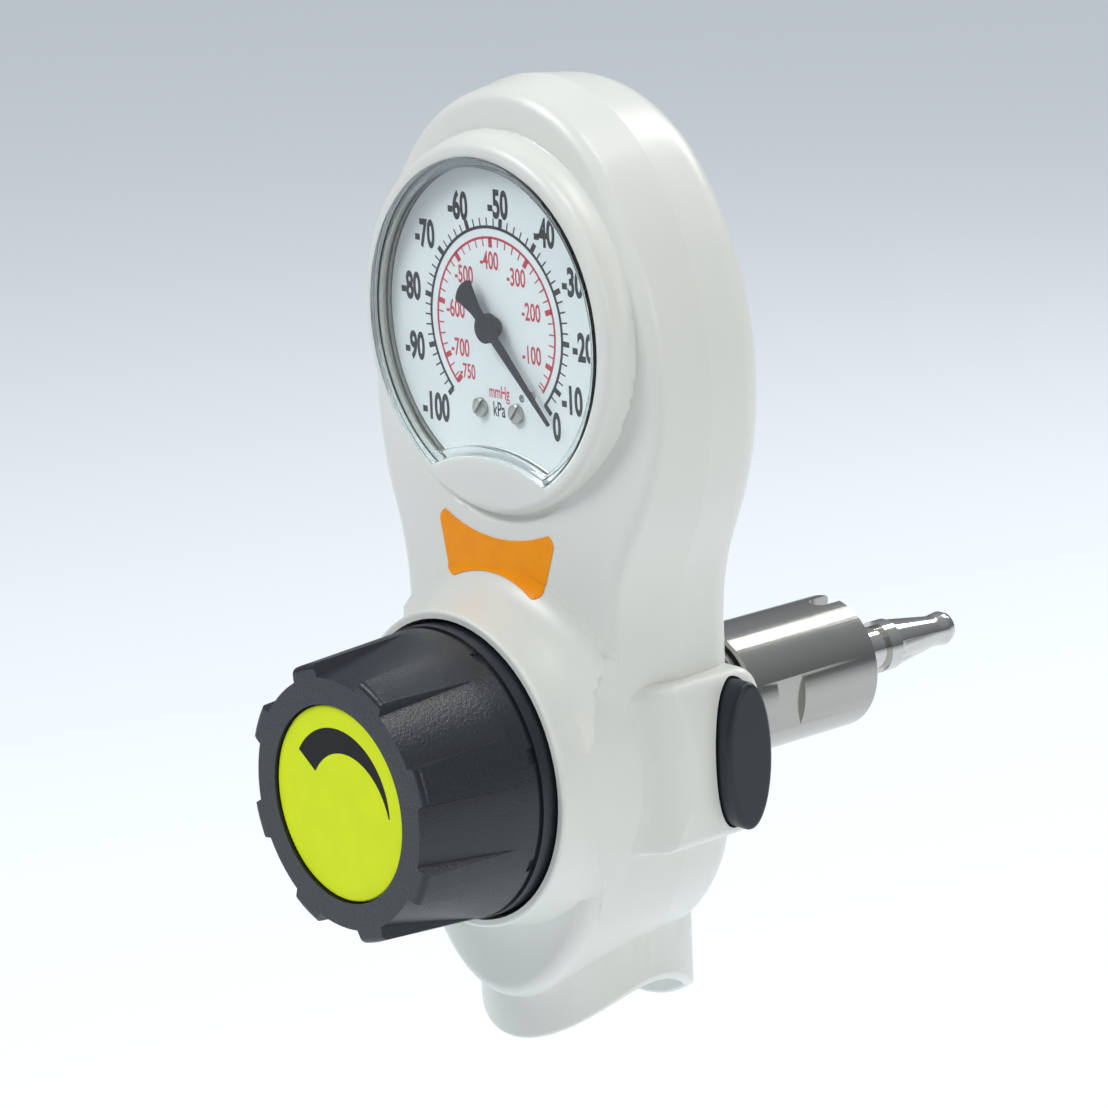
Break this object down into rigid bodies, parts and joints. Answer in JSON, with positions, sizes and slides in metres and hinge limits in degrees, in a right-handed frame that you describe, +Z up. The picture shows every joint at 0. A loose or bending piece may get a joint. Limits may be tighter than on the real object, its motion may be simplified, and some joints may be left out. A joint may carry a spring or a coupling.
{
  "type": "vacuum regulator",
  "caption": "Hand-held wall-outlet vacuum regulator: white moulded housing with a round gauge, large ribbed control knob, push-through valve and a steel plug-in probe at the back.",
  "frame": {"origin": "centre of the rear end face of the probe's sleeve, on the common axis of probe and knob", "axes": "+X right as seen from the front, +Y along the probe towards the wall outlet, +Z up"},
  "size_m": [0.0806, 0.1516, 0.1727],
  "materials": {
    "housing": "fine moulded texture, off-white",
    "screw_steel": "zinc plated",
    "lens": "clear polycarbonate",
    "case_metal": "drawn cup, bright",
    "dial_white": "white, printed",
    "pointer_black": "matt black",
    "brass": "turned",
    "knob_charcoal": "fine eroded texture",
    "disc_yellow": "printed insert",
    "aluminium": "machined",
    "spring_steel": "ground",
    "rubber": "moulded",
    "button_charcoal": "fine eroded texture",
    "sleeve_steel": "turned stainless steel",
    "plug_steel": "polished stainless steel",
    "label_orange": "printed film"
  },
  "bodies": {
    "housing": {"front_housing": "housing", "rear_housing": "housing", "housing_screws": "screw_steel", "gauge_lens": "lens", "gauge_case": "case_metal", "dial_plate": "dial_white", "dial_screws": "screw_steel", "stop_pin": "lens", "movement_frame": "brass", "bourdon_tube": "brass", "gauge_stem": "brass", "bonnet": "aluminium", "main_spring": "spring_steel", "pressure_plate": "aluminium", "diaphragm": "rubber", "valve_block": "aluminium", "valve_poppet": "rubber", "rear_gasket": "rubber", "lock_ring": "sleeve_steel", "sleeve_seal": "rubber", "inlet_sleeve": "sleeve_steel", "inlet_plug": "plug_steel", "port_nipple": "plug_steel", "waist_label": "label_orange"},
    "knob": {"knob": "knob_charcoal", "knob_disc": "disc_yellow", "knob_screw": "screw_steel", "adjusting_spindle": "brass"},
    "seat": {"spring_seat": "brass"},
    "pointer": {"pointer": "pointer_black", "pinion_arbor": "brass"},
    "sector": {"sector_gear": "brass"},
    "button": {"valve_spool": "spring_steel", "spool_seals": "rubber", "button_cap_right": "button_charcoal", "button_cap_left": "button_charcoal"}
  },
  "joints": [
    {"name": "knob_turn", "type": "hinge", "parent": "housing", "child": "knob", "pos_m": [0, -0.1, 0], "axis": [0, 1, 0], "range_deg": [0, 1080]},
    {"name": "seat_slide", "type": "slide", "parent": "housing", "child": "seat", "axis": [0, 1, 0], "range_m": [0, 0.003], "deforming": ["main_spring"]},
    {"name": "sector_turn", "type": "hinge", "parent": "housing", "child": "sector", "pos_m": [0, -0.075, 0.09392], "axis": [0, 1, 0], "range_deg": [0, 27], "stiffness_Nm_per_rad": 0.02, "springref_deg": -5.73},
    {"name": "pointer_turn", "type": "hinge", "parent": "housing", "child": "pointer", "pos_m": [0, -0.08, 0.0774], "axis": [0, -1, 0], "range_deg": [0, 270]},
    {"name": "button_slide", "type": "slide", "parent": "housing", "child": "button", "axis": [-1, 0, 0], "range_m": [0, 0.0038]}
  ],
  "couplings": [
    {"joint": "seat_slide", "follows": "knob_turn", "m_per_rad": 0.000159},
    {"joint": "pointer_turn", "follows": "sector_turn", "ratio": 10}
  ]
}
